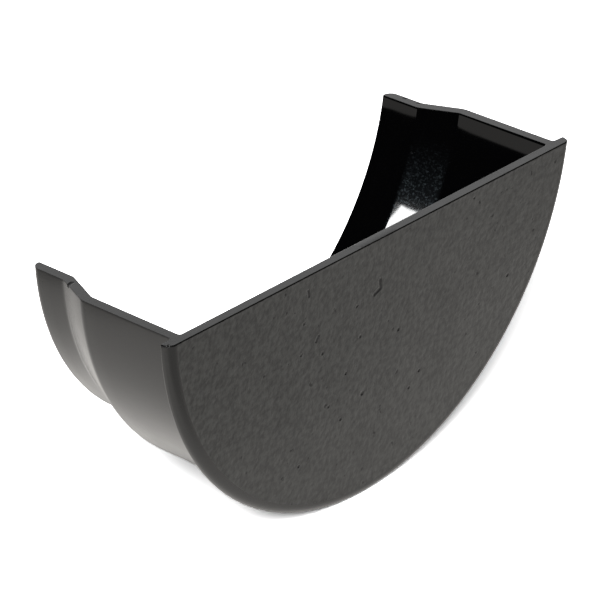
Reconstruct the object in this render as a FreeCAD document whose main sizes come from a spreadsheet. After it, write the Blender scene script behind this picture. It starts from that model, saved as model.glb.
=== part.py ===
import FreeCAD, Part
import os
import Sketcher

# End cap for a half-round rainwater gutter, moulded as one piece.
# A segment-shaped plate closes the end. A half-round sleeve stands behind it,
# steps inwards over a slope and ends in a narrower spigot that goes into the gutter.
# Origin: middle of the rim, in the plane where the spigot starts.
# +Y runs along the gutter away from the plate, +Z is up, the rim lies at Z = 0.

# Driving sizes in millimetres.
SIZES = {
    # height of the arcs' common axis above the rim
    "axis_rise": 5.8,
    # body of the sleeve: outer radius at the plate, length, and what the radius loses over it
    "body_radius": 57.0,
    "body_length": 21.7,
    "body_draft": 0.2,
    # wall of the whole sleeve
    "wall": 2.3,
    # slope: how far it steps inwards, and over what length
    "step_in": 3.7,
    "slope_length": 7.7,
    # spigot: length, what its radius loses over it, and the rounding of its free edge
    "spigot_length": 8.1,
    "spigot_draft": 0.1,
    "spigot_round": 1.9,
    # end plate: how far it stands out past the body, thickness, rounding of its curved edge
    "plate_overhang": 3.0,
    "plate_thickness": 2.2,
    "plate_round": 1.9,
    # small radii: bends of the slope outside and inside, edges that the plate has on the rim
    "outer_bend_round": 3.0,
    "inner_bend_round": 1.5,
    "rim_round": 0.25,
}

# A rounding takes at most this share of the wall that it is cut from.
ROUND_SHARE = 0.9
# Two lengths closer than this count as the same place.
SAME_PLACE = 0.01

# On the inside the slope starts and ends this much sooner, so that its wall is as thick
# as the rest of the sleeve's.
INNER_LEAD = "Sizes.wall * tan(atan(Sizes.step_in / Sizes.slope_length) / 2)"

# Places along the gutter, from the plane where the spigot starts.
SLOPE_START = "-Sizes.slope_length"
PLATE_BACK = "-(Sizes.slope_length + Sizes.body_length)"
PLATE_FRONT = f"{PLATE_BACK} - Sizes.plate_thickness"
SPIGOT_START = "0"
SPIGOT_END = "Sizes.spigot_length"
INNER_SLOPE_START = f"{SLOPE_START} - {INNER_LEAD}"
INNER_SLOPE_END = f"-({INNER_LEAD})"

# Radii about the arcs' axis. The sleeve's inside lies one wall further in.
AXIS = "0"
PLATE_RADIUS = "Sizes.body_radius + Sizes.plate_overhang"
BODY_RADIUS = "Sizes.body_radius"
BODY_END_RADIUS = "Sizes.body_radius - Sizes.body_draft"
SPIGOT_RADIUS = f"{BODY_END_RADIUS} - Sizes.step_in"
SPIGOT_END_RADIUS = f"{SPIGOT_RADIUS} - Sizes.spigot_draft"
BODY_BORE = f"{BODY_RADIUS} - Sizes.wall"
BODY_END_BORE = f"{BODY_END_RADIUS} - Sizes.wall"
SPIGOT_BORE = f"{SPIGOT_RADIUS} - Sizes.wall"
SPIGOT_END_BORE = f"{SPIGOT_END_RADIUS} - Sizes.wall"

# Roundings of the section's corners.
PLATE_ROUND = f"min(Sizes.plate_round; {ROUND_SHARE} * Sizes.plate_thickness)"
SPIGOT_ROUND = f"min(Sizes.spigot_round; {ROUND_SHARE} * Sizes.wall)"
OUTER_BEND = "Sizes.outer_bend_round"
INNER_BEND = "Sizes.inner_bend_round"
RIM_ROUND = f"min(Sizes.rim_round; {ROUND_SHARE} * (Sizes.plate_thickness - {PLATE_ROUND}))"
SHARP = None

# Corners of the half section, once round: name, place along the gutter, radius, rounding.
SECTION = [
    ("PlateFaceAxis", PLATE_FRONT, AXIS, SHARP),
    ("PlateFaceEdge", PLATE_FRONT, PLATE_RADIUS, PLATE_ROUND),
    ("PlateBackEdge", PLATE_BACK, PLATE_RADIUS, SHARP),
    ("BodyRoot", PLATE_BACK, BODY_RADIUS, SHARP),
    ("BodyEnd", SLOPE_START, BODY_END_RADIUS, OUTER_BEND),
    ("SpigotStart", SPIGOT_START, SPIGOT_RADIUS, OUTER_BEND),
    ("SpigotEnd", SPIGOT_END, SPIGOT_END_RADIUS, SPIGOT_ROUND),
    ("SpigotEndBore", SPIGOT_END, SPIGOT_END_BORE, SHARP),
    ("SpigotStartBore", INNER_SLOPE_END, SPIGOT_BORE, INNER_BEND),
    ("BodyEndBore", INNER_SLOPE_START, BODY_END_BORE, INNER_BEND),
    ("BodyRootBore", PLATE_BACK, BODY_BORE, SHARP),
    ("PlateBackAxis", PLATE_BACK, AXIS, SHARP),
]

doc = FreeCAD.newDocument("EndCapDocument")


def fill_sheet():
    """One row for each size: its name, its value and its alias."""
    sheet = doc.addObject("Spreadsheet::Sheet", "Sizes")
    for row, (name, size) in enumerate(SIZES.items(), start=1):
        sheet.set(f"A{row}", name)
        sheet.set(f"B{row}", str(size))
        sheet.setAlias(f"B{row}", name)
    doc.recompute()


def value(expression):
    """What an expression comes to at the sizes in the sheet."""
    result = doc.Sizes.evalExpression(expression.replace("Sizes.", ""))
    return float(getattr(result, "Value", result))


def new_sketch(body, name, role):
    """An empty sketch on the body's own origin plane of that role."""
    sketch = body.newObject("Sketcher::SketchObject", name)
    plane = next(item for item in body.Origin.OriginFeatures if item.Role == role)
    sketch.AttachmentSupport = (plane, [""])
    sketch.MapMode = "FlatFace"
    return sketch


def bind(sketch, constraint, name, expression):
    """Adds a constraint under its own name and binds its size to the sheet."""
    number = sketch.addConstraint(constraint)
    sketch.renameConstraint(number, name)
    sketch.setExpression(f"Constraints.{name}", expression)


def draw_outline(sketch, corners):
    """A closed outline. Each corner has a name, two bound places and a rounding or none."""
    points = [FreeCAD.Vector(value(across), value(up), 0) for _, across, up, _ in corners]
    count = len(points)
    for i in range(count):
        sketch.addGeometry(Part.LineSegment(points[i], points[(i + 1) % count]), False)
    for i in range(count):
        sketch.addConstraint(Sketcher.Constraint("Coincident", i, 2, (i + 1) % count, 1))
    for i, (name, across, up, _) in enumerate(corners):
        bind(sketch, Sketcher.Constraint("DistanceX", i, 1, points[i].x), f"{name}X", across)
        bind(sketch, Sketcher.Constraint("DistanceY", i, 1, points[i].y), f"{name}Y", up)
    for i, (name, _, _, rounding) in enumerate(corners):
        if rounding is not SHARP:
            arc = sketch.GeometryCount
            sketch.fillet(i, 1, value(rounding), True, True)
            bind(sketch, Sketcher.Constraint("Radius", arc, value(rounding)), f"{name}Round", rounding)
    doc.recompute()
    if sketch.solve() != 0:
        raise RuntimeError(f"{sketch.Label} is not solved")


def turn_section(body):
    """The half section, turned through the half circle below the arcs' axis."""
    sketch = new_sketch(body, "HalfSection", "YZ_Plane")
    sketch.setExpression("AttachmentOffset.Base.y", "Sizes.axis_rise")
    below = [(name, along, f"-({radius})", rounding) for name, along, radius, rounding in SECTION]
    draw_outline(sketch, below)
    turned = body.newObject("PartDesign::Revolution", "TurnedSection")
    turned.Profile = sketch
    turned.ReferenceAxis = (sketch, ["H_Axis"])
    turned.Midplane = True
    turned.Angle = 180.0
    doc.recompute()
    return turned


def cut_at_rim(body, turned):
    """Takes away what stands above the rim, as high as the arcs' axis and a little more."""
    margin = "Sizes.wall"
    side = f"({PLATE_RADIUS} + {margin})"
    front = f"{PLATE_FRONT} - {margin}"
    back = f"{SPIGOT_END} + {margin}"
    corners = [
        ("LeftFront", f"-{side}", front, SHARP),
        ("RightFront", side, front, SHARP),
        ("RightBack", side, back, SHARP),
        ("LeftBack", f"-{side}", back, SHARP),
    ]
    sketch = new_sketch(body, "RimOutline", "XY_Plane")
    draw_outline(sketch, corners)
    cut = body.newObject("PartDesign::Pocket", "RimCut")
    cut.Profile = sketch
    cut.Reversed = True
    cut.setExpression("Length", f"Sizes.axis_rise + {margin}")
    doc.recompute()
    if cut.Shape.Volume >= turned.Shape.Volume:
        raise RuntimeError("the rim cut took nothing away")
    return cut


def plate_rim_edges(shape):
    """Names of the edges that the plate has on the rim."""
    back = value(PLATE_BACK)
    names = []
    for number, edge in enumerate(shape.Edges, start=1):
        box = edge.optimalBoundingBox()
        on_rim = max(abs(box.ZMin), abs(box.ZMax)) < SAME_PLACE
        if on_rim and box.YMax < back + SAME_PLACE:
            names.append(f"Edge{number}")
    return names


def round_plate_rim(body, cut):
    """A small fillet along the plate's front, back and side edges on the rim."""
    fillet = body.newObject("PartDesign::Fillet", "PlateRimRound")
    fillet.Base = (cut, plate_rim_edges(cut.Shape))
    fillet.setExpression("Radius", RIM_ROUND)
    doc.recompute()
    return fillet


def make_end_cap():
    """The whole moulding: its turned section, the rim cut and the plate's rounded rim edges."""
    body = doc.addObject("PartDesign::Body", "EndCap")
    body.Label = "end_cap"
    turned = turn_section(body)
    cut = cut_at_rim(body, turned)
    body.Tip = round_plate_rim(body, cut)
    doc.recompute()
    return body


def check(parts):
    """Stops before anything is written if an object failed or a shape is not one sound solid."""
    for item in doc.Objects:
        if "Invalid" in item.State or "Error" in item.State:
            raise RuntimeError(f"{item.Label} failed: {item.State}")
    for part in parts:
        if part.Shape.isNull() or not part.Shape.isValid() or len(part.Shape.Solids) != 1:
            raise RuntimeError(f"{part.Label} is not one sound solid")


fill_sheet()
parts = [make_end_cap()]
check(parts)
os.makedirs("parts", exist_ok=True)
for part in parts:
    part.Shape.exportStep(f"parts/{part.Label}.step")
    box = part.Shape.optimalBoundingBox()
    size = [round(length, 2) for length in (box.XLength, box.YLength, box.ZLength)]
    print(part.Label, size, "mm,", round(part.Shape.Volume / 1000, 2), "cm3")
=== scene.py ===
# %% [markdown]
# # A gutter end cap in black moulded plastic
#
# The real object closes the open end of a half-round rainwater gutter. It is one
# moulding: a flat plate with a cast-iron texture, a half-round sleeve behind it, a
# slope that steps the sleeve inwards, and a narrower spigot at the free end.
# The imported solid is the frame. It already has the right place and size, so this
# script only dresses it: a finer mesh of the same form, a finish, a floor, soft
# light and a camera. Every length is in metres, in the same frame as the solid.

# %% Load the frame
import bpy
import math
import numpy as np
from mathutils import Matrix, Vector


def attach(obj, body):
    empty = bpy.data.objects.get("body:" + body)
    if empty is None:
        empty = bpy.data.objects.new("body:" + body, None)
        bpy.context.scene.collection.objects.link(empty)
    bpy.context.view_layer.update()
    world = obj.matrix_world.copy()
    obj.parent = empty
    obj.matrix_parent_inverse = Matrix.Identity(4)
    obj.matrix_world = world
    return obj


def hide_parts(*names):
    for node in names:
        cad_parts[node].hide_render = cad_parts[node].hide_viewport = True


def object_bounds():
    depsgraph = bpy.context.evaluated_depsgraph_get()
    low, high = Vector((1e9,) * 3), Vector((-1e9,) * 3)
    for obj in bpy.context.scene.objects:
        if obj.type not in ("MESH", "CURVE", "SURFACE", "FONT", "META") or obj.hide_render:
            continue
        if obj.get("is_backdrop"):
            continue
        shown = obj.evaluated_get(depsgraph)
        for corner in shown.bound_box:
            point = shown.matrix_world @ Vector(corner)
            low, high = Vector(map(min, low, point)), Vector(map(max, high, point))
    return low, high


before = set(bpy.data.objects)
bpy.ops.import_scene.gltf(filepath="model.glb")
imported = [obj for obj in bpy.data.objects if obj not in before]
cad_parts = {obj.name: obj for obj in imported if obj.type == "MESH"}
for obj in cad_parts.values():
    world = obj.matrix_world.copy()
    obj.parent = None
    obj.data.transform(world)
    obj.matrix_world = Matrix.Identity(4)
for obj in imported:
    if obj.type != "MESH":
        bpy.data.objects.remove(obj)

CAD_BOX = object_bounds()
MM = 0.001
for label, corner in zip(("solid from", "to"), CAD_BOX):
    print(label, [round(c / MM, 1) for c in corner], "mm")

# %% [markdown]
# ## Sizes
#
# The rim lies at Z = 0 and the gutter runs along Y. All arcs share one axis, which
# lies a little above the rim. The plate's face, its lowest point and the spigot's end
# come from the solid's own box. The rest are the same few driving sizes that the solid has.

# %% Sizes of the moulding
AXIS_RISE = 5.8 * MM
PLATE_THICKNESS = 2.2 * MM
PLATE_ROUND = 1.9 * MM
PLATE_OVERHANG = 3.0 * MM
WALL = 2.3 * MM
BODY_DRAFT = 0.2 * MM
STEP_IN = 3.7 * MM
SLOPE_LENGTH = 7.7 * MM
SPIGOT_DRAFT = 0.1 * MM
SPIGOT_ROUND = 1.9 * MM
OUTER_BEND = 3.0 * MM
INNER_BEND = 1.5 * MM
ROOT = 0.5 * MM
RIM_ROUND = 0.24 * MM
EDGE_ROUND = 0.3 * MM

FRONT = CAD_BOX[0].y
BACK = FRONT + PLATE_THICKNESS
SPIGOT_END = CAD_BOX[1].y
FLOOR_LEVEL = CAD_BOX[0].z
PLATE_RADIUS = AXIS_RISE - FLOOR_LEVEL
BODY_RADIUS = PLATE_RADIUS - PLATE_OVERHANG
BODY_END_RADIUS = BODY_RADIUS - BODY_DRAFT
SPIGOT_RADIUS = BODY_END_RADIUS - STEP_IN
SPIGOT_END_RADIUS = SPIGOT_RADIUS - SPIGOT_DRAFT
# On the inside the slope starts and ends this much sooner, so that its wall stays even.
INNER_LEAD = WALL * math.tan(math.atan(STEP_IN / SLOPE_LENGTH) / 2)
print("plate radius", round(PLATE_RADIUS / MM, 2), "mm, plate face at", round(FRONT / MM, 2), "mm")

# %% [markdown]
# ## Camera
#
# The camera stands where the photographer stood: far off and with a long lens, to
# the left of the plate and looking down. It also leans a little to one side. A
# camera looks along its own -Z with +Y up, so the lean is one more turn about that
# line of sight.

# %% Camera
CAMERA_PLACE = Vector((-609.70, -498.89, 381.88)) * MM
CAMERA_TARGET = Vector((1.13, -12.24, -20.04)) * MM
CAMERA_LEAN = math.radians(2.212)
LENS_MM = 276.92


def placed(name, data):
    """A new object in the scene that holds the data."""
    made = bpy.data.objects.new(name, data)
    bpy.context.scene.collection.objects.link(made)
    return made


camera_data = bpy.data.cameras.new("camera")
camera_data.lens = LENS_MM
camera_data.sensor_width = 36.0
camera_data.clip_start = 0.05
camera_data.clip_end = 20.0
camera = placed("camera", camera_data)
sight = (CAMERA_TARGET - CAMERA_PLACE).to_track_quat("-Z", "Y").to_matrix().to_4x4()
lean = Matrix.Rotation(CAMERA_LEAN, 4, "Z")
camera.matrix_world = Matrix.Translation(CAMERA_PLACE) @ sight @ lean
bpy.context.scene.camera = camera
print("camera stands", round((CAMERA_TARGET - CAMERA_PLACE).length, 3), "m away")

# %% [markdown]
# ## Section of the moulding
#
# Cut the cap along its middle and the same outline shows at every angle: plate,
# sleeve, slope and spigot in one closed loop. So the section is drawn once, as
# points of place along the gutter and radius, and turned later. Each corner carries
# its own rounding, and an arc of a few short steps replaces it. It also carries two
# notes for later: which finish starts there, and how much of the rim's rounding.

# %% Round the corners of an outline
ARC_STEP = math.radians(11.0)


def rounded(corners):
    """Replaces each corner (along, radius, rounding, finish, rim share) by points of an arc."""
    points = [np.array([*corners[0][:2], *corners[0][3:]])]
    for i in range(1, len(corners) - 1):
        before, here, after = (np.array(corners[j][:2]) for j in (i - 1, i, i + 1))
        rounding = corners[i][2]
        into = (here - before) / np.linalg.norm(here - before)
        out = (after - here) / np.linalg.norm(after - here)
        turn = math.acos(np.clip(into @ out, -1.0, 1.0))
        reach = rounding * math.tan(turn / 2)
        side = 1.0 if into[0] * out[1] - into[1] * out[0] > 0 else -1.0
        centre = here - into * reach + rounding * side * np.array([-into[1], into[0]])
        start = here - into * reach - centre
        steps = max(2, math.ceil(turn / ARC_STEP))
        for k in range(steps + 1):
            angle = side * turn * k / steps
            along = start[0] * math.cos(angle) - start[1] * math.sin(angle)
            radius = start[0] * math.sin(angle) + start[1] * math.cos(angle)
            points.append(np.array([centre[0] + along, centre[1] + radius, *corners[i][3:]]))
    points.append(np.array([*corners[-1][:2], *corners[-1][3:]]))
    return points


# %% [markdown]
# A turned plate has a weak spot: where the smallest rings shrink to a point, the
# mesh pinches. Here that point would lie in the middle of the rim, right on the
# edge that shows best. So the rings stop a little below the rim, and a few level
# rows fill the small field that is left.

# %% Rows of the section, once round
RING_STEP = 0.46 * MM
WALL_STEP = 3.0 * MM
POLE_RADIUS = AXIS_RISE + 2.0 * MM
# The cast face stops this far before the rounding of the plate's edge.
FACE_MARGIN = 0.25 * MM
RIM_STEPS = 4
LEVEL_ROWS = 5
NOT_LIFTED = -1.0
CAST_FACE, SKIN, CORE = 0.0, 1.0, 2.0
FULL_RIM, SLIM_RIM, SHARP_RIM = 1.0, 0.4, 0.14


def spaced(points, step):
    """Adds evenly spaced points to each straight stretch longer than a step."""
    filled = []
    for a, b in zip(points, points[1:]):
        pieces = max(1, round(np.linalg.norm((b - a)[:2]) / step))
        filled += [a + (b - a) * k / pieces for k in range(pieces)]
    return filled + [points[-1]]


def outline():
    """Points of the section from the plate's face round to the plate's back, with their notes."""
    face_end = PLATE_RADIUS - PLATE_ROUND - FACE_MARGIN
    on_face = (CAST_FACE, FULL_RIM)
    on_edge = (SKIN, FULL_RIM)
    outside = (SKIN, SHARP_RIM)
    inside = (CORE, SLIM_RIM)
    face_start = np.array([FRONT, POLE_RADIUS, *on_face])
    face = spaced([face_start, np.array([FRONT, face_end, *on_face])], RING_STEP)
    rest = rounded([
        (FRONT, face_end, 0, *on_face),
        (FRONT, PLATE_RADIUS, PLATE_ROUND, *on_edge),
        (BACK, PLATE_RADIUS, RIM_ROUND, *on_edge),
        (BACK, BODY_RADIUS, ROOT, *outside),
        (-SLOPE_LENGTH, BODY_END_RADIUS, OUTER_BEND, *outside),
        (0, SPIGOT_RADIUS, OUTER_BEND, *outside),
        (SPIGOT_END, SPIGOT_END_RADIUS, SPIGOT_ROUND, *outside),
        (SPIGOT_END, SPIGOT_END_RADIUS - WALL, EDGE_ROUND, *inside),
        (-INNER_LEAD, SPIGOT_RADIUS - WALL, INNER_BEND, *inside),
        (-SLOPE_LENGTH - INNER_LEAD, BODY_END_RADIUS - WALL, INNER_BEND, *inside),
        (BACK, BODY_RADIUS - WALL, ROOT, CORE, FULL_RIM),
        (BACK, POLE_RADIUS, 0, CORE, FULL_RIM),
    ])
    return face[:-1] + spaced(rest, WALL_STEP)


def inward(points):
    """Direction into the material at each point, longer at bends to keep the distance."""
    places = [point[:2] for point in points]
    steps = [(b - a) / np.linalg.norm(b - a) for a, b in zip(places, places[1:])]
    sides = [np.array([step[1], -step[0]]) for step in steps]
    sides = [sides[0], *sides, sides[-1]]
    means = [(a + b) / 2 for a, b in zip(sides, sides[1:])]
    return [mean / (mean @ mean) for mean in means]


def rows():
    """Every row: place, way of the rim's rounding, share lifted to the rim, level, notes."""
    points = outline()
    ring = [(*p[:2], *d, 0.0, NOT_LIFTED, *p[2:]) for p, d in zip(points, inward(points))]
    shares = [k / LEVEL_ROWS for k in range(1, LEVEL_ROWS + 1)]
    angles = [math.pi / 2 * k / RIM_STEPS for k in range(1, RIM_STEPS + 1)]
    levels = [(share, NOT_LIFTED) for share in shares]
    levels += [(1.0, RIM_ROUND * (math.sin(angle) - 1)) for angle in angles]
    front = [(FRONT, POLE_RADIUS, 1.0, 0.0, *level, CAST_FACE, FULL_RIM) for level in levels]
    back = [(BACK, POLE_RADIUS, -1.0, 0.0, *level, CORE, FULL_RIM) for level in levels]
    return front[::-1] + ring + back


ROWS = rows()
print("rows in the section:", len(ROWS))

# %% [markdown]
# The rows become a loop of edges. Each vertex keeps its facts as named attributes,
# which Geometry Nodes can read by name. Where the vertices lie doesn't matter yet.

# %% Write the section as a loop of edges
ROW_FACTS = ("along", "ring", "draw_along", "draw_ring", "lift", "level", "finish", "rim_share")


def section_object(name):
    """A closed loop of edges, one vertex for each row of the section."""
    mesh = bpy.data.meshes.new(name)
    count = len(ROWS)
    angles = [2 * math.pi * i / count for i in range(count)]
    places = [(math.cos(angle), math.sin(angle), 0) for angle in angles]
    mesh.from_pydata(places, [(i, (i + 1) % count) for i in range(count)], [])
    for column, fact in enumerate(ROW_FACTS):
        layer = mesh.attributes.new(fact, "FLOAT", "POINT")
        layer.data.foreach_set("value", [row[column] for row in ROWS])
    return placed(name, mesh)


print("facts on each vertex:", ", ".join(ROW_FACTS))

# %% [markdown]
# ## Helpers for node trees
#
# Trees built in a script get long, because every node is made, set and linked. A few
# small helpers keep them readable. One makes a node and feeds its inputs from
# values or from other sockets. One writes a step of arithmetic. Two more make a
# smooth fade and plain noise, which both kinds of tree use.

# %% Node helpers


def feed(tree, socket, source):
    """Links a socket to another one, or sets its plain value."""
    if isinstance(source, bpy.types.NodeSocket):
        tree.links.new(source, socket)
    elif source is not None:
        socket.default_value = source


def node(tree, kind, inputs=None, **settings):
    """Makes a node of that kind with its settings, and feeds the inputs given by name or number."""
    made = tree.nodes.new(kind)
    for name, setting in settings.items():
        setattr(made, name, setting)
    for key, source in (inputs or {}).items():
        feed(tree, made.inputs[key], source)
    return made


def calc(tree, operation, *terms):
    """One step of arithmetic on numbers or sockets."""
    made = tree.nodes.new("ShaderNodeMath")
    made.operation = operation
    for socket, term in zip(made.inputs, terms):
        feed(tree, socket, term)
    return made.outputs[0]


def fade(tree, source, none_at, full_at):
    """Runs smoothly from 0 to 1 while a number goes from one place to another."""
    made = node(
        tree,
        "ShaderNodeMapRange",
        {0: source, 1: none_at, 2: full_at, 3: 0.0, 4: 1.0},
        interpolation_type="SMOOTHSTEP",
    )
    return made.outputs[0]


def noise(tree, place, size, seed, detail=1.0, roughness=0.5):
    """Smooth noise around 0.5 whose lumps are about one size wide."""
    scale = calc(tree, "DIVIDE", 1.0, size)
    inputs = {"Vector": place, "W": seed, "Scale": scale, "Detail": detail, "Roughness": roughness}
    return node(tree, "ShaderNodeTexNoise", inputs, noise_dimensions="4D").outputs[0]


print("helpers:", [helper.__name__ for helper in (feed, node, calc, fade, noise)])

# %% [markdown]
# ## Turning the section
#
# The tree sweeps the loop along a line of columns. That gives the faces, and one
# rule then puts each vertex in its place: its column gives an angle about the arcs'
# axis, its row gives the radius. The first and last few columns run over the rim's
# small rounding, so every ring ends level with the rim instead of past it. The
# cast-iron texture is real relief: noise that presses the plate's face inwards, and
# fades out towards its edges.

# %% The tree for the turned moulding
# What lies this close behind the plate's face belongs to it.
FACE_LAYER = 0.5 * MM
# A normal whose Y is below this looks straight out of the plate's face.
FACE_NORMAL_Y = -0.9
JOIN_DISTANCE = 0.002 * MM
CAP_INPUTS = {
    "Columns": ("NodeSocketInt", 400),
    "Axis Rise": ("NodeSocketFloat", AXIS_RISE),
    "Rim Round": ("NodeSocketFloat", RIM_ROUND),
    "Rim Steps": ("NodeSocketInt", RIM_STEPS),
    "Face": ("NodeSocketFloat", FRONT),
    "Field Radius": ("NodeSocketFloat", PLATE_RADIUS - PLATE_ROUND),
    "Field Border": ("NodeSocketFloat", 0.6 * MM),
    "Relief Depth": ("NodeSocketFloat", 0.06 * MM),
    "Relief Size": ("NodeSocketFloat", 1.5 * MM),
    "Seed": ("NodeSocketFloat", 4.0),
    "Crease Angle": ("NodeSocketFloat", math.radians(24.0)),
    "Cast Face": ("NodeSocketMaterial", None),
    "Skin": ("NodeSocketMaterial", None),
    "Core": ("NodeSocketMaterial", None),
}


def new_tree(name, inputs):
    """A geometry tree with a geometry socket at both ends and the named inputs."""
    tree = bpy.data.node_groups.new(name, "GeometryNodeTree")
    tree.is_modifier = True
    tree.interface.new_socket(name="Geometry", in_out="INPUT", socket_type="NodeSocketGeometry")
    tree.interface.new_socket(name="Geometry", in_out="OUTPUT", socket_type="NodeSocketGeometry")
    for label, (kind, default) in inputs.items():
        socket = tree.interface.new_socket(name=label, in_out="INPUT", socket_type=kind)
        if default is not None:
            socket.default_value = default
    return tree


def fact(tree, name):
    """Reads a named attribute of the mesh."""
    inputs = {"Name": name}
    return node(tree, "GeometryNodeInputNamedAttribute", inputs, data_type="FLOAT").outputs[0]


def sweep(tree, given):
    """Faces between all rows and columns, closed at both ends."""
    loop = node(tree, "GeometryNodeMeshToCurve", {"Mesh": given["Geometry"]})
    line = node(tree, "GeometryNodeCurvePrimitiveLine", {"End": (0.0, 0.0, 1.0)})
    count = calc(tree, "ADD", given["Columns"], 1.0)
    columns = node(tree, "GeometryNodeResampleCurve", {"Curve": line.outputs[0], "Count": count})
    number = node(tree, "GeometryNodeInputIndex").outputs[0]
    numbered = node(
        tree,
        "GeometryNodeStoreNamedAttribute",
        {"Geometry": columns.outputs[0], "Name": "column", "Value": number},
        data_type="FLOAT",
        domain="POINT",
    )
    return node(
        tree,
        "GeometryNodeCurveToMesh",
        {"Curve": numbered.outputs[0], "Profile Curve": loop.outputs[0], "Fill Caps": True},
    ).outputs[0]


def turned_place(tree, given):
    """Where each vertex belongs: across, along and up."""
    rise, steps = given["Axis Rise"], given["Rim Steps"]
    rim = calc(tree, "MULTIPLY", given["Rim Round"], fact(tree, "rim_share"))
    column = fact(tree, "column")
    other = calc(tree, "SUBTRACT", given["Columns"], column)
    inner = calc(tree, "MINIMUM", column, other)
    on_left = calc(tree, "LESS_THAN", column, other)

    # Share of the rim's rounding still to come, as an angle: a quarter turn at the very edge.
    left_over = calc(tree, "SUBTRACT", 1.0, calc(tree, "DIVIDE", inner, steps))
    bend = calc(tree, "MULTIPLY", calc(tree, "MAXIMUM", left_over, 0.0), math.pi / 2)
    sunk = calc(tree, "MULTIPLY", rim, calc(tree, "SUBTRACT", 1.0, calc(tree, "SINE", bend)))
    drawn = calc(tree, "MULTIPLY", rim, calc(tree, "SUBTRACT", 1.0, calc(tree, "COSINE", bend)))
    radius = calc(tree, "MULTIPLY_ADD", fact(tree, "draw_ring"), drawn, fact(tree, "ring"))

    # Angle about the arcs' axis, from the rim on one side to the rim on the other.
    edge = calc(tree, "ARCSINE", calc(tree, "DIVIDE", calc(tree, "ADD", rise, sunk), radius))
    whole = calc(tree, "SUBTRACT", math.pi, calc(tree, "MULTIPLY", edge, 2.0))
    past = calc(tree, "MAXIMUM", calc(tree, "SUBTRACT", inner, steps), 0.0)
    between = calc(tree, "SUBTRACT", given["Columns"], calc(tree, "MULTIPLY", steps, 2.0))
    share = calc(tree, "DIVIDE", past, between)
    angle = calc(tree, "MULTIPLY_ADD", share, whole, edge)
    side = calc(tree, "MULTIPLY_ADD", on_left, -2.0, 1.0)
    reach = calc(tree, "MULTIPLY", radius, calc(tree, "COSINE", angle))
    across = calc(tree, "MULTIPLY", side, reach)
    drop = calc(tree, "MULTIPLY", radius, calc(tree, "SINE", angle))
    ring_up = calc(tree, "SUBTRACT", rise, drop)

    # The level rows in the middle of the plate are lifted from the smallest ring to the rim.
    rim_down = calc(tree, "MULTIPLY", rim, -1.0)
    short = calc(tree, "MAXIMUM", calc(tree, "SUBTRACT", rim_down, ring_up), 0.0)
    lifted = calc(tree, "MULTIPLY_ADD", fact(tree, "lift"), short, ring_up)
    up = calc(tree, "MAXIMUM", lifted, fact(tree, "level"))

    # How far the edge is drawn in at this height: a quarter circle again.
    height = calc(tree, "ADD", 1.0, calc(tree, "DIVIDE", up, rim))
    height = calc(tree, "MINIMUM", calc(tree, "MAXIMUM", height, 0.0), 1.0)
    square = calc(tree, "SUBTRACT", 1.0, calc(tree, "MULTIPLY", height, height))
    edge_in = calc(tree, "MULTIPLY", rim, calc(tree, "SUBTRACT", 1.0, calc(tree, "SQRT", square)))
    along = calc(tree, "MULTIPLY_ADD", fact(tree, "draw_along"), edge_in, fact(tree, "along"))
    return across, along, up


def cast_relief(tree, given):
    """How far the cast texture presses the plate's face inwards at each vertex."""
    place = node(tree, "GeometryNodeInputPosition").outputs[0]
    x, y, z = node(tree, "ShaderNodeSeparateXYZ", {0: place}).outputs
    field, border = given["Field Radius"], given["Field Border"]
    inside = fade(tree, fact(tree, "ring"), field, calc(tree, "SUBTRACT", field, border))
    below = fade(tree, z, 0.0, calc(tree, "MULTIPLY", border, -1.0))
    in_front = calc(tree, "LESS_THAN", calc(tree, "SUBTRACT", y, given["Face"]), FACE_LAYER)
    mask = calc(tree, "MULTIPLY", in_front, calc(tree, "MULTIPLY", inside, below))
    spots = noise(tree, place, given["Relief Size"], given["Seed"], detail=2.0, roughness=0.45)
    depth = calc(tree, "MULTIPLY", given["Relief Depth"], spots)
    return calc(tree, "MULTIPLY", mask, depth)


def painted(tree, shape, given):
    """Gives each face its finish: the skin all over, then the cast face and the core."""
    finish = fact(tree, "finish")
    normal = node(tree, "GeometryNodeInputNormal").outputs[0]
    facing = node(tree, "ShaderNodeSeparateXYZ", {0: normal}).outputs[1]
    in_front = calc(tree, "LESS_THAN", facing, FACE_NORMAL_Y)
    cast = calc(tree, "LESS_THAN", finish, (CAST_FACE + SKIN) / 2)
    on_face = calc(tree, "MULTIPLY", cast, in_front)
    in_core = calc(tree, "GREATER_THAN", finish, (SKIN + CORE) / 2)
    coats = ((True, given["Skin"]), (on_face, given["Cast Face"]), (in_core, given["Core"]))
    for chosen, material in coats:
        inputs = {"Geometry": shape, "Selection": chosen, "Material": material}
        shape = node(tree, "GeometryNodeSetMaterial", inputs).outputs[0]
    return shape


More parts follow.
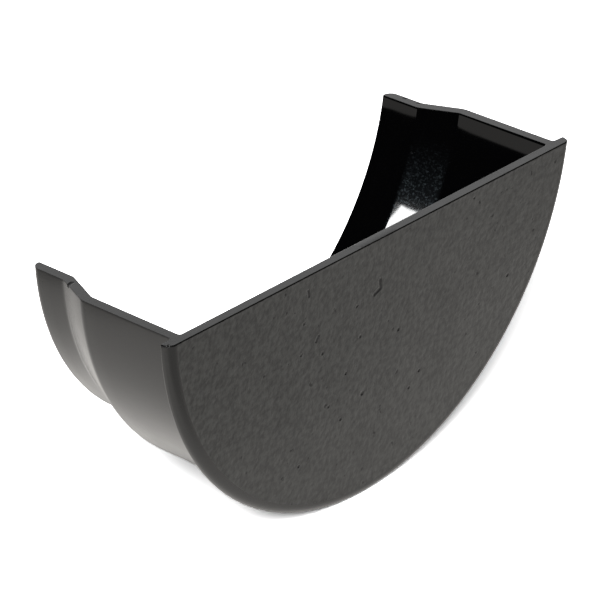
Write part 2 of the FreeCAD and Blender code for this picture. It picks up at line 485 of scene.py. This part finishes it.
def cap_tree():
    """The whole tree: sweep, turn, press in the relief, join doubles and mark the creases."""
    tree = new_tree("turned_cap", CAP_INPUTS)
    given = node(tree, "NodeGroupInput").outputs
    across, along, up = turned_place(tree, given)
    place = node(tree, "ShaderNodeCombineXYZ", {0: across, 1: along, 2: up}).outputs[0]
    bent = {"Geometry": sweep(tree, given), "Position": place}
    turned = node(tree, "GeometryNodeSetPosition", bent).outputs[0]
    inwards = node(tree, "ShaderNodeCombineXYZ", {1: cast_relief(tree, given)}).outputs[0]
    pressed = {"Geometry": turned, "Offset": inwards}
    textured = node(tree, "GeometryNodeSetPosition", pressed).outputs[0]
    doubles = {"Geometry": textured, "Distance": JOIN_DISTANCE}
    joined = node(tree, "GeometryNodeMergeByDistance", doubles)
    all_faces = {"Geometry": joined.outputs[0], "Shade Smooth": True}
    smooth = node(tree, "GeometryNodeSetShadeSmooth", all_faces, domain="FACE")
    fold = node(tree, "GeometryNodeInputMeshEdgeAngle").outputs[0]
    sharp = calc(tree, "GREATER_THAN", fold, given["Crease Angle"])
    creased = node(
        tree,
        "GeometryNodeSetShadeSmooth",
        {"Geometry": smooth.outputs[0], "Selection": sharp, "Shade Smooth": False},
        domain="EDGE",
    )
    real = node(tree, "GeometryNodeRealizeInstances", {"Geometry": creased.outputs[0]})
    node(tree, "NodeGroupOutput", {0: painted(tree, real.outputs[0], given)})
    return tree


CAP_TREE = cap_tree()
print("nodes in the turning tree:", len(CAP_TREE.nodes))

# %% [markdown]
# A modifier keeps its inputs under each socket's identifier, not under its name. So
# a small helper looks the identifier up.

# %% Run a tree and keep the plain mesh


def set_input(modifier, name, value):
    """Sets an input of a geometry modifier by the identifier of its socket."""
    sockets = modifier.node_group.interface.items_tree
    socket = next(item for item in sockets if item.name == name and item.in_out == "INPUT")
    modifier[socket.identifier] = value


def baked(carrier, tree, name, **values):
    """A new object that holds what the tree makes of the carrier, which is then removed."""
    modifier = carrier.modifiers.new("shape", "NODES")
    modifier.node_group = tree
    for key, setting in values.items():
        set_input(modifier, key.replace("_", " "), setting)
    evaluated = carrier.evaluated_get(bpy.context.evaluated_depsgraph_get())
    mesh = bpy.data.meshes.new_from_object(evaluated)
    mesh.name = name
    carrier.modifiers.remove(modifier)
    bpy.data.objects.remove(carrier)
    return placed(name, mesh)


print("inputs of the tree:", ", ".join(CAP_INPUTS))

# %% [markdown]
# ## Finish
#
# The cap is dyed plastic, black all the way through, so there is no paint and no
# edge wear to a second colour. What the eye reads is gloss: satin and slightly
# uneven on the plate's cast-iron face, smoother on the sleeve, and wet-looking
# inside, where the polished core of the mould was. Effects that more than one finish
# uses are node groups. A group gives out only heights, masks and values, and the
# Principled shader stays in each material.

# %% Make a shader group


def new_group(name, inputs, outputs):
    """A shader node group with named number or vector inputs and number outputs."""
    group = bpy.data.node_groups.new(name, "ShaderNodeTree")
    for label, default in inputs.items():
        kind = "NodeSocketVector" if default is None else "NodeSocketFloat"
        socket = group.interface.new_socket(name=label, in_out="INPUT", socket_type=kind)
        if default is not None:
            socket.default_value = default
    for label in outputs:
        group.interface.new_socket(name=label, in_out="OUTPUT", socket_type="NodeSocketFloat")
    return group


print("helper:", new_group.__name__)

# %% [markdown]
# The grain group makes the fine lumps that a sand mould would leave, and now and
# then a small pit. Its height is in millimetres, so a Bump node with a distance of
# one millimetre shows it at its true depth.

# %% Grain group
# Shares of the noise between which a pit, and a lump's top, fades in.
PIT_EDGE = (0.66, 0.76)
TOP_EDGE = (0.32, 0.68)


def grain_group():
    """Height of lumps and pits in millimetres, and masks of the lumps' tops and the pits."""
    group = new_group(
        "grain",
        {
            "Place": None,
            "Lump Size": 0.6,
            "Lump Depth": 0.02,
            "Pit Size": 1.1,
            "Pit Depth": 0.05,
            "Seed": 0.0,
        },
        ("Height", "Top", "Pits"),
    )
    given = node(group, "NodeGroupInput").outputs
    place, seed = given["Place"], given["Seed"]
    lumps = noise(group, place, given["Lump Size"], seed, detail=2.0)
    blots = noise(group, place, given["Pit Size"], calc(group, "ADD", seed, 3.0), detail=2.0)
    pits = fade(group, blots, *PIT_EDGE)
    height = calc(group, "MULTIPLY", calc(group, "SUBTRACT", lumps, 0.5), given["Lump Depth"])
    height = calc(group, "SUBTRACT", height, calc(group, "MULTIPLY", pits, given["Pit Depth"]))
    # The mask of the lumps' tops. The cast face paints shade outside it.
    top = fade(group, lumps, *TOP_EDGE)
    node(group, "NodeGroupOutput", {"Height": height, "Top": top, "Pits": pits})
    return group


GRAIN = grain_group()
print("nodes in the grain group:", len(GRAIN.nodes))

# %% [markdown]
# The scar group is a short groove between two places on the plate's face. This cap
# has a few that stand out, so they go where they are on it, one group node each.

# %% Scar group
# Keeps a scar that has hardly any length from a division by zero.
TINY = 0.0001
SCAR_FACTS = ("Start X", "Start Z", "End X", "End Z", "Width")


def scar_group():
    """A mask that is 1 along a short line across the face and fades out over its width."""
    inputs = {"Place": None, **dict.fromkeys(SCAR_FACTS, 0.0)}
    group = new_group("scar", inputs, ("Mask",))
    given = node(group, "NodeGroupInput").outputs
    x, _, z = node(group, "ShaderNodeSeparateXYZ", {0: given["Place"]}).outputs
    to_x = calc(group, "SUBTRACT", x, given["Start X"])
    to_z = calc(group, "SUBTRACT", z, given["Start Z"])
    run_x = calc(group, "SUBTRACT", given["End X"], given["Start X"])
    run_z = calc(group, "SUBTRACT", given["End Z"], given["Start Z"])
    dot = calc(group, "MULTIPLY_ADD", to_x, run_x, calc(group, "MULTIPLY", to_z, run_z))
    square = calc(group, "MULTIPLY_ADD", run_x, run_x, calc(group, "MULTIPLY", run_z, run_z))
    share = calc(group, "DIVIDE", dot, calc(group, "MAXIMUM", square, TINY))
    share = calc(group, "MINIMUM", calc(group, "MAXIMUM", share, 0.0), 1.0)
    off_x = calc(group, "SUBTRACT", to_x, calc(group, "MULTIPLY", share, run_x))
    off_z = calc(group, "SUBTRACT", to_z, calc(group, "MULTIPLY", share, run_z))
    span = calc(group, "MULTIPLY_ADD", off_x, off_x, calc(group, "MULTIPLY", off_z, off_z))
    mask = fade(group, calc(group, "SQRT", span), given["Width"], 0.0)
    node(group, "NodeGroupOutput", {"Mask": mask})
    return group


SCAR = scar_group()
print("nodes in the scar group:", len(SCAR.nodes))

# %% [markdown]
# The gloss group lets the roughness wander slowly between two values, because no
# moulded skin is equally smooth everywhere. The dust group makes fine specks.

# %% Gloss and dust groups
# Shares of the noise between which the gloss changes, and a speck fades in.
GLOSS_EDGE = (0.3, 0.7)
SPECK_EDGE = (0.50, 0.70)


def gloss_group():
    """A roughness that wanders between two values."""
    inputs = {"Place": None, "Size": 9.0, "Low": 0.2, "High": 0.3, "Seed": 0.0}
    group = new_group("gloss", inputs, ("Roughness",))
    given = node(group, "NodeGroupInput").outputs
    drift = noise(group, given["Place"], given["Size"], given["Seed"], detail=3.0)
    span = calc(group, "SUBTRACT", given["High"], given["Low"])
    rough = calc(group, "MULTIPLY_ADD", fade(group, drift, *GLOSS_EDGE), span, given["Low"])
    node(group, "NodeGroupOutput", {"Roughness": rough})
    return group


def dust_group():
    """Fine specks over a thin haze: a mask that grows with the amount."""
    inputs = {"Place": None, "Size": 0.3, "Amount": 0.5, "Haze": 0.2, "Seed": 0.0}
    group = new_group("dust", inputs, ("Cover",))
    given = node(group, "NodeGroupInput").outputs
    fine = noise(group, given["Place"], given["Size"], given["Seed"], detail=2.0, roughness=0.7)
    specks = fade(group, fine, *SPECK_EDGE)
    cover = calc(group, "ADD", specks, given["Haze"])
    node(group, "NodeGroupOutput", {"Cover": calc(group, "MULTIPLY", cover, given["Amount"])})
    return group


GLOSS = gloss_group()
DUST = dust_group()
print("shader groups:", [group.name for group in (GRAIN, SCAR, GLOSS, DUST)])

# %% [markdown]
# Every finish starts the same way: a Principled shader with the plastic's index of
# refraction, and the place on the object in millimetres, read from Object
# coordinates so that nothing slides when the camera moves.

# %% Shared start of a plastic finish
PLASTIC_IOR = 1.5


def use(tree, group, inputs):
    """Places a shader group and feeds its inputs."""
    made = tree.nodes.new("ShaderNodeGroup")
    made.node_tree = group
    for key, source in inputs.items():
        feed(tree, made.inputs[key], source)
    return made.outputs


def plastic(name):
    """A new material: its tree, its shader and the place on the object in millimetres."""
    material = bpy.data.materials.new(name)
    material.use_nodes = True
    tree = material.node_tree
    shader = tree.nodes["Principled BSDF"]
    shader.inputs["IOR"].default_value = PLASTIC_IOR
    there = node(tree, "ShaderNodeTexCoord").outputs["Object"]
    scaled = node(tree, "ShaderNodeVectorMath", {0: there, "Scale": 1 / MM}, operation="SCALE")
    return material, tree, shader, scaled.outputs[0]


def mixed(tree, share, first, second):
    """A colour between two others. A Mix node has its colours at inputs 6 and 7."""
    colours = {0: share, 6: first, 7: second}
    return node(tree, "ShaderNodeMix", colours, data_type="RGBA").outputs[2]


def scarred(tree, place, scars):
    """The mask of several scars, each given by its two ends and half its width."""
    mask = 0.0
    for scar in scars:
        facts = {"Place": place, **dict(zip(SCAR_FACTS, scar))}
        mask = calc(tree, "MAXIMUM", mask, use(tree, SCAR, facts)["Mask"])
    return mask


def raise_bump(tree, shader, height):
    """Shows a height in millimetres through the shader's normal."""
    bump = node(tree, "ShaderNodeBump", {"Strength": 1.0, "Distance": MM, "Height": height})
    feed(tree, shader.inputs["Normal"], bump.outputs[0])


print("helpers:", [helper.__name__ for helper in (use, plastic, mixed, scarred, raise_bump)])

# %% [markdown]
# ### The plate's cast face
#
# The real plate imitates sand-cast iron: flat lumps about a millimetre wide and a few
# hundredths of a millimetre high, with pits between them. Painted shade darkens the
# hollows between the lumps, and the pits and scars more, so the tops look paler. The
# larger lumps are relief in the mesh and the finer ones are bump. A deeper texture
# would glitter, because the face mirrors the pale floor. The scars are flow marks and
# knocks. They stand in a list, since they belong to this one cap and not to the grain.

# %% Cast face
# Black of the lumps' tops, then painted shade for the hollows, and darker painted shade for pits
# and scars.
CAST_BLACK = (0.0172, 0.0175, 0.0160, 1.0)
HOLLOW_SHADE = (0.0026, 0.0027, 0.0025, 1.0)
PIT_SHADE = (0.0005, 0.0005, 0.0005, 1.0)
SCAR_DEPTH_MM = 0.28
HOLLOW_ROUGHER = 0.30
# Each scar: start across and up, end across and up, and half its width, in millimetres.
SCARS_MM = (
    (0.6, -8.8, 0.9, -10.5, 0.62),
    (0.9, -10.5, -0.9, -11.2, 0.56),
    (-17.3, -13.8, -17.9, -14.6, 0.48),
    (-20.8, -3.1, -20.5, -4.2, 0.46),
    (-15.93, -17.90, -15.77, -17.90, 0.54),
    (-3.48, -31.30, -3.32, -31.30, 0.60),
    (-9.68, -34.30, -9.52, -34.30, 0.50),
    (-4.73, -18.65, -4.57, -18.65, 0.48),
    (6.87, -21.60, 7.03, -21.60, 0.46),
    (14.02, -33.20, 14.18, -33.20, 0.44),
    (40.97, -22.70, 41.13, -22.70, 0.48),
    (-8.68, -24.95, -8.52, -24.95, 0.44),
    (-21.73, -9.55, -21.57, -9.55, 0.42),
    (-13.53, -30.15, -13.37, -30.15, 0.42),
    (-22.23, -15.85, -22.07, -15.85, 0.40),
    (-6.08, -11.75, -5.92, -11.75, 0.40),
    (11.02, -35.75, 11.18, -35.75, 0.40),
    (-21.78, -39.55, -21.62, -39.55, 0.42),
    (28.82, -1.70, 28.98, -1.70, 0.38),
)


def cast_face_plastic():
    """Satin black with a cast-iron grain, pits, a few scars and painted shade in their hollows."""
    material, tree, shader, place = plastic("cast_face_plastic")
    grain = use(tree, GRAIN, {
        "Place": place,
        "Lump Size": 1.1,
        "Lump Depth": 0.098,
        "Pit Size": 1.5,
        "Pit Depth": 0.03,
        "Seed": 11.0,
    })
    scars = scarred(tree, place, SCARS_MM)
    height = calc(tree, "MULTIPLY_ADD", scars, -SCAR_DEPTH_MM, grain["Height"])
    raise_bump(tree, shader, height)
    hollow = calc(tree, "MAXIMUM", scars, grain["Pits"])
    # Painted shade: the hollows between lumps are darker, and pits and scars are darkest.
    shaded_lumps = mixed(tree, grain["Top"], HOLLOW_SHADE, CAST_BLACK)
    feed(tree, shader.inputs["Base Color"], mixed(tree, hollow, shaded_lumps, PIT_SHADE))
    satin = {"Place": place, "Size": 8.0, "Low": 0.30, "High": 0.38, "Seed": 2.0}
    rough = use(tree, GLOSS, satin)["Roughness"]
    rougher = calc(tree, "MULTIPLY_ADD", hollow, HOLLOW_ROUGHER, rough)
    feed(tree, shader.inputs["Roughness"], rougher)
    return material


CAST_FACE_PLASTIC = cast_face_plastic()
print("scars on the face:", len(SCARS_MM))

# %% [markdown]
# ### The skin outside
#
# The sleeve, the plate's edge and the rim came off a plainer mould: a finer and
# shallower grain, so they mirror the floor more clearly towards the bottom. The rim
# of this cap also has a small nick and some trimming marks. The scar group works in
# X and Z, so the rim's own X and Y go in as X and Z.

# %% Skin outside
SKIN_BLACK = (0.0030, 0.0030, 0.0029, 1.0)
SKIN_GREY = (0.0060, 0.0060, 0.0058, 1.0)
NICK_DEPTH_MM = 0.30
MARK_ROUGHER = 0.7
# Heights between which the marks fade in, so that they stay on the rim.
RIM_BAND_MM = (-0.5, -0.1)
# Each mark: start across and along, end across and along, and half its width, in millimetres.
RIM_MARKS_MM = (
    (-53.9, -2.2, -52.5, -1.95, 0.45),
    (52.1, 4.1, 52.2, 3.5, 0.30),
    (52.1, 0.6, 52.2, 0.2, 0.26),
    (52.8, 4.5, 52.6, 4.0, 0.20),
    (-59.2, -30.8, -58.7, -30.6, 0.20),
)


def skin_plastic():
    """Smooth black skin with a faint grain, and the marks on the rim."""
    material, tree, shader, place = plastic("skin_plastic")
    grain = use(tree, GRAIN, {
        "Place": place,
        "Lump Size": 0.45,
        "Lump Depth": 0.010,
        "Pit Size": 1.6,
        "Pit Depth": 0.008,
        "Seed": 23.0,
    })
    x, y, z = node(tree, "ShaderNodeSeparateXYZ", {0: place}).outputs
    on_rim = node(tree, "ShaderNodeCombineXYZ", {0: x, 2: y}).outputs[0]
    marks = scarred(tree, on_rim, RIM_MARKS_MM)
    marks = calc(tree, "MULTIPLY", marks, fade(tree, z, *RIM_BAND_MM))
    raise_bump(tree, shader, calc(tree, "MULTIPLY_ADD", marks, -NICK_DEPTH_MM, grain["Height"]))
    smooth = {"Place": place, "Size": 10.0, "Low": 0.18, "High": 0.24, "Seed": 5.0}
    rough = use(tree, GLOSS, smooth)["Roughness"]
    rougher = calc(tree, "MULTIPLY_ADD", marks, MARK_ROUGHER, rough)
    feed(tree, shader.inputs["Roughness"], rougher)
    feed(tree, shader.inputs["Base Color"], mixed(tree, grain["Pits"], SKIN_BLACK, SKIN_GREY))
    return material


SKIN_PLASTIC = skin_plastic()
print("marks on the rim:", len(RIM_MARKS_MM))

# %% [markdown]
# ### The polished inside
#
# Inside, the plastic is as bright as the mould's polished core. Fine pale dust lies
# on the slope where the sleeve narrows, thicker further down. It is a mask over
# colour and roughness, held to the slope by the place along the gutter.

# %% Polished inside
CORE_BLACK = (0.0007, 0.0007, 0.0008, 1.0)
DUST_BLUE = (0.038, 0.047, 0.052, 1.0)
DUST_TOP_MM = -5.0
DUST_BOTTOM_MM = -28.0
DUST_ROUGHER = 0.02
# How far past the slope's start, and past its end, the dust fades in.
DUST_ENTERS_MM = (0.1, 1.1)
DUST_LEAVES_MM = (0.3, -0.6)


def core_plastic():
    """Deep polished black with dust on the inner slope."""
    material, tree, shader, place = plastic("core_plastic")
    _, along, up = node(tree, "ShaderNodeSeparateXYZ", {0: place}).outputs
    slope_from = -(SLOPE_LENGTH + INNER_LEAD) / MM
    slope_to = -INNER_LEAD / MM
    entering = fade(tree, along, *(slope_from + past for past in DUST_ENTERS_MM))
    leaving = fade(tree, along, *(slope_to + past for past in DUST_LEAVES_MM))
    sinking = fade(tree, up, DUST_TOP_MM, DUST_BOTTOM_MM)
    amount = calc(tree, "MULTIPLY", calc(tree, "MULTIPLY", entering, leaving), sinking)
    facts = {"Place": place, "Size": 0.40, "Amount": amount, "Haze": 0.10, "Seed": 7.0}
    cover = use(tree, DUST, facts)["Cover"]
    feed(tree, shader.inputs["Base Color"], mixed(tree, cover, CORE_BLACK, DUST_BLUE))
    polish = {"Place": place, "Size": 12.0, "Low": 0.04, "High": 0.06, "Seed": 9.0}
    rough = use(tree, GLOSS, polish)["Roughness"]
    rougher = calc(tree, "MULTIPLY_ADD", amount, DUST_ROUGHER, rough)
    feed(tree, shader.inputs["Roughness"], rougher)
    return material


CORE_PLASTIC = core_plastic()
finishes = (CAST_FACE_PLASTIC, SKIN_PLASTIC, CORE_PLASTIC)
print("finishes:", [material.name for material in finishes])

# %% [markdown]
# ## The moulding
#
# Now the tree runs on the section. The result stands for the imported solid: it is tied
# to the solid's node and moves with it.

# %% Make the cap
cap = baked(
    section_object("section"),
    CAP_TREE,
    "moulding",
    Cast_Face=CAST_FACE_PLASTIC,
    Skin=SKIN_PLASTIC,
    Core=CORE_PLASTIC,
)
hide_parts("end_cap")
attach(cap, "root")
triangles = sum(len(face.vertices) - 2 for face in cap.data.polygons)
print("faces:", len(cap.data.polygons), "triangles:", triangles)

# %% [markdown]
# ## Floor
#
# A black gloss surface is seen by what it mirrors, so the floor matters as much as
# the lamp. The floor is plain white paint. Straight camera rays see it brighter than
# it is, so that it clips to the white background and only the contact shadow stays.
# Mirrored rays see a pale card instead, whose uneven brightness is painted light and
# shade. It is brightest beside the sleeve, on the left. In front of the plate it is
# duller, and gets brighter close to the cap and to the right. The card ends behind the
# sleeve and some way out all round, and a darker table lies beyond it. Behind the
# sleeve the table ends as well.

# %% Floor
FLOOR_GAP = 0.05 * MM
FLOOR_HALF = 6.0
FLOOR_WHITE = 0.80
FLOOR_FOR_CAMERA = 2.20
# Where the card and the table end behind the sleeve, how far the card reaches all
# round, and over what length each of these edges fades out.
CARD_HEADING = math.radians(147.0)
CARD_END = 0.105
CARD_END_FADE = 0.01
TABLE_END = 0.249
TABLE_END_FADE = 0.012
CARD_RADIUS = 0.21
CARD_RADIUS_FADE = 0.05
# Stretches of X or Y, from and to, over which the painted light on the card gets
# brighter to the right, brighter close to the cap, duller far to the left, and turns
# into the card beside it.
RIGHTWARD = (-0.010, 0.120)
CLOSE_TO_CAP = (-0.085, -0.045)
FAR_LEFT = (-0.036, -0.066)
BESIDE_ACROSS = (-0.010, -0.028)
BESIDE_ALONG = (-0.030, -0.005)
# How pale the card, with its painted light and shade, and the table are there, and their tint.
MIRROR_FRONT = 0.47
MIRROR_RIGHT = 0.78
# Painted light that brightens the card close to the cap.
PAINTED_LIGHT_NEAR_CAP = 0.30
MIRROR_LEFT = 1.12
MIRROR_LEFT_FAR = 0.89
MIRROR_TABLE = 0.40
MIRROR_TINT = (1.0, 0.970, 0.93)


def background_share(tree, camera_share, mirror_share):
    """Weighs the rays that show the background: straight ones, and mirrored or bent ones."""
    path = node(tree, "ShaderNodeLightPath").outputs
    through = calc(tree, "MAXIMUM", path["Is Glossy Ray"], path["Is Transmission Ray"])
    straight = calc(tree, "MULTIPLY", path["Is Camera Ray"], camera_share)
    return calc(tree, "MULTIPLY_ADD", through, mirror_share, straight)


def painted_light_in_front(tree, x, y):
    """The card before the plate, with painted light: brighter to the right and close to the cap."""
    rightward = calc(tree, "MULTIPLY", fade(tree, x, *RIGHTWARD), MIRROR_RIGHT - MIRROR_FRONT)
    close = calc(tree, "MULTIPLY", fade(tree, y, *CLOSE_TO_CAP), PAINTED_LIGHT_NEAR_CAP)
    return calc(tree, "ADD", calc(tree, "ADD", rightward, close), MIRROR_FRONT)


def painted_light_beside_sleeve(tree, x):
    """The card beside the sleeve, with painted light: brightest close to it."""
    far = fade(tree, x, *FAR_LEFT)
    return calc(tree, "MULTIPLY_ADD", far, MIRROR_LEFT_FAR - MIRROR_LEFT, MIRROR_LEFT)


def between(tree, share, first, second):
    """A number between two others."""
    return calc(tree, "MULTIPLY_ADD", share, calc(tree, "SUBTRACT", second, first), first)


def painted_floor_light(tree):
    """How pale the floor is to mirrored rays: painted light on the card, the table, black past it.
    """
    there = node(tree, "ShaderNodeTexCoord").outputs["Object"]
    x, y, _ = node(tree, "ShaderNodeSeparateXYZ", {0: there}).outputs
    beside = calc(tree, "MULTIPLY", fade(tree, x, *BESIDE_ACROSS), fade(tree, y, *BESIDE_ALONG))
    on_card = between(tree, beside, painted_light_in_front(tree, x, y), painted_light_beside_sleeve(tree, x))
    across = calc(tree, "MULTIPLY", x, math.cos(CARD_HEADING))
    away = calc(tree, "MULTIPLY_ADD", y, math.sin(CARD_HEADING), across)
    radius = calc(tree, "SQRT", calc(tree, "MULTIPLY_ADD", x, x, calc(tree, "MULTIPLY", y, y)))
    past_end = fade(tree, away, CARD_END, CARD_END + CARD_END_FADE)
    past_round = fade(tree, radius, CARD_RADIUS, CARD_RADIUS + CARD_RADIUS_FADE)
    past_card = calc(tree, "MAXIMUM", past_end, past_round)
    on_floor = between(tree, past_card, on_card, MIRROR_TABLE)
    on_table = fade(tree, away, TABLE_END + TABLE_END_FADE, TABLE_END)
    return calc(tree, "MULTIPLY", on_floor, on_table)


def floor_material():
    """White paint, brighter to straight rays, and with the card's painted light to mirrored ones.
    """
    material = bpy.data.materials.new("floor")
    material.use_nodes = True
    tree = material.node_tree
    tree.nodes.remove(tree.nodes["Principled BSDF"])
    bright = calc(tree, "ADD", background_share(tree, FLOOR_FOR_CAMERA, 0.0), FLOOR_WHITE)
    plain = node(tree, "ShaderNodeCombineColor", {0: bright, 1: bright, 2: bright}).outputs[0]
    card = painted_floor_light(tree)
    shades = {i: calc(tree, "MULTIPLY", card, tint) for i, tint in enumerate(MIRROR_TINT)}
    mirrored = node(tree, "ShaderNodeCombineColor", shades).outputs[0]
    colour = mixed(tree, background_share(tree, 0.0, 1.0), plain, mirrored)
    paint = node(tree, "ShaderNodeBsdfDiffuse", {"Color": colour})
    tree.links.new(paint.outputs[0], tree.nodes["Material Output"].inputs[0])
    return material


def sheet_object(name, places, faces, material):
    """A mesh object of the stage."""
    mesh = bpy.data.meshes.new(name)
    mesh.from_pydata(places, [], faces)
    mesh.materials.append(material)
    made = placed(name, mesh)
    made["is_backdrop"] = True
    return made


FLOOR_CORNERS = ((-1, -1), (1, -1), (1, 1), (-1, 1))
floor_height = FLOOR_LEVEL - FLOOR_GAP
floor_places = [(x * FLOOR_HALF, y * FLOOR_HALF, floor_height) for x, y in FLOOR_CORNERS]
sheet_object("floor", floor_places, [(0, 1, 2, 3)], floor_material())
print("floor lies at", round(floor_height / MM, 2), "mm")

# %% [markdown]
# ## Black cards
#
# A photographer shapes gloss with black cards that stand out of the picture. The
# inside of this cap is nearly black in the photo, so it must mirror almost nothing.
# Only two openings are left in a shell of cards. One lets in the white of the room
# behind and to the right, which the rim mirrors. The other is cut round the lamp: it
# makes the white spot at the bottom of the inside. Neighbours overlap a little, since
# a gap would show as a bright thread. Only mirrored rays see the cards, so they
# neither cast a shadow nor take light away.

# %% Black cards
CARD_DISTANCE = 0.45
# Faces of a card across and up, many enough that neighbours meet without a gap.
CARD_ACROSS = 72
CARD_UP = 12
# Each card: name, headings from and to, elevations from and to, in degrees.
CARDS = (
    ("card_low", 78, 383, -6.9, 22.5),
    ("card_left", 78, 195, 22, 52.5),
    ("card_under_lamp", 194, 231, 22, 25.5),
    ("card_right", -130, 23, 22, 52.5),
    ("card_over_window", 22, 79, 37, 52.5),
    ("card_top", 0, 360, 52, 90),
)


def flag_material():
    """A card that scatters and mirrors nothing."""
    material = bpy.data.materials.new("black_card")
    material.use_nodes = True
    shader = material.node_tree.nodes["Principled BSDF"]
    shader.inputs["Base Color"].default_value = (0.0, 0.0, 0.0, 1.0)
    shader.inputs["Specular IOR Level"].default_value = 0.0
    return material


def flag(name, heading_from, heading_to, low, high, material):
    """A black card bent round the object, between two headings and two elevations in degrees."""
    places = []
    for i in range(CARD_UP + 1):
        elevation = math.radians(low + (high - low) * i / CARD_UP)
        for j in range(CARD_ACROSS + 1):
            heading = math.radians(heading_from + (heading_to - heading_from) * j / CARD_ACROSS)
            places.append((
                CARD_DISTANCE * math.cos(elevation) * math.cos(heading),
                CARD_DISTANCE * math.cos(elevation) * math.sin(heading),
                CARD_DISTANCE * math.sin(elevation),
            ))
    row = CARD_ACROSS + 1
    starts = [i * row + j for i in range(CARD_UP) for j in range(CARD_ACROSS)]
    faces = [(start, start + 1, start + row + 1, start + row) for start in starts]
    made = sheet_object(name, places, faces, material)
    made.visible_camera = False
    made.visible_diffuse = False
    made.visible_transmission = False
    made.visible_shadow = False
    return made


black_card = flag_material()
for name, *reach in CARDS:
    flag(name, *reach, black_card)
print("cards:", len(CARDS))

# %% [markdown]
# ## World
#
# The room is evenly white and lights the cap only a little. Straight and mirrored
# rays see it at its full white, which gives the plain background behind the floor
# and the pale rim.

# %% World
AMBIENT = 0.15
ROOM_SEEN = 1.0

world = bpy.data.worlds.new("studio")
bpy.context.scene.world = world
world.use_nodes = True
world_tree = world.node_tree
background = world_tree.nodes["Background"]
background.inputs["Color"].default_value = (1.0, 1.0, 1.0, 1.0)
extra = background_share(world_tree, ROOM_SEEN - AMBIENT, ROOM_SEEN - AMBIENT)
strength = calc(world_tree, "ADD", extra, AMBIENT)
world_tree.links.new(strength, background.inputs["Strength"])
print("room light", AMBIENT, "seen as", ROOM_SEEN)

# %% [markdown]
# ## Lamp
#
# One softbox stands to the front left, at the height that the white spot inside asks
# for. It is large for its distance, so the contact shadow stays soft.

# %% Lamp
LAMP_HEADING = math.radians(-147)
LAMP_ELEVATION = math.radians(38)
LAMP_DISTANCE = 1.0
LAMP_SIZE = 0.46
LAMP_WATTS = 18.0


def softbox(name, place, size, power):
    """A square soft lamp that looks at the middle of the rim."""
    data = bpy.data.lights.new(name, "AREA")
    data.shape = "SQUARE"
    data.size = size
    data.energy = power
    lamp = placed(name, data)
    lamp.location = place
    lamp.rotation_euler = (-place).to_track_quat("-Z", "Y").to_euler()
    lamp.visible_camera = False
    return lamp


flat = math.cos(LAMP_ELEVATION)
lamp_x = math.cos(LAMP_HEADING) * flat
lamp_y = math.sin(LAMP_HEADING) * flat
lamp_place = Vector((lamp_x, lamp_y, math.sin(LAMP_ELEVATION))) * LAMP_DISTANCE
softbox("key_box", lamp_place, LAMP_SIZE, LAMP_WATTS)
print("lamp stands at", [round(part, 2) for part in lamp_place], "m")

# %% [markdown]
# ## Colours and sizes
#
# The Standard view keeps black plastic black and the floor white. The sizes of the
# visual model's box are printed beside the solid's own.

# %% Colours and sizes
scene = bpy.context.scene
scene.view_settings.view_transform = "Standard"
boxes = {"cad": CAD_BOX, "visual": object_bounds()}
plain_boxes = {name: [list(corner) for corner in box] for name, box in boxes.items()}
for name, (low, high) in plain_boxes.items():
    print(name, "size", [round((b - a) / MM, 2) for a, b in zip(low, high)], "mm")
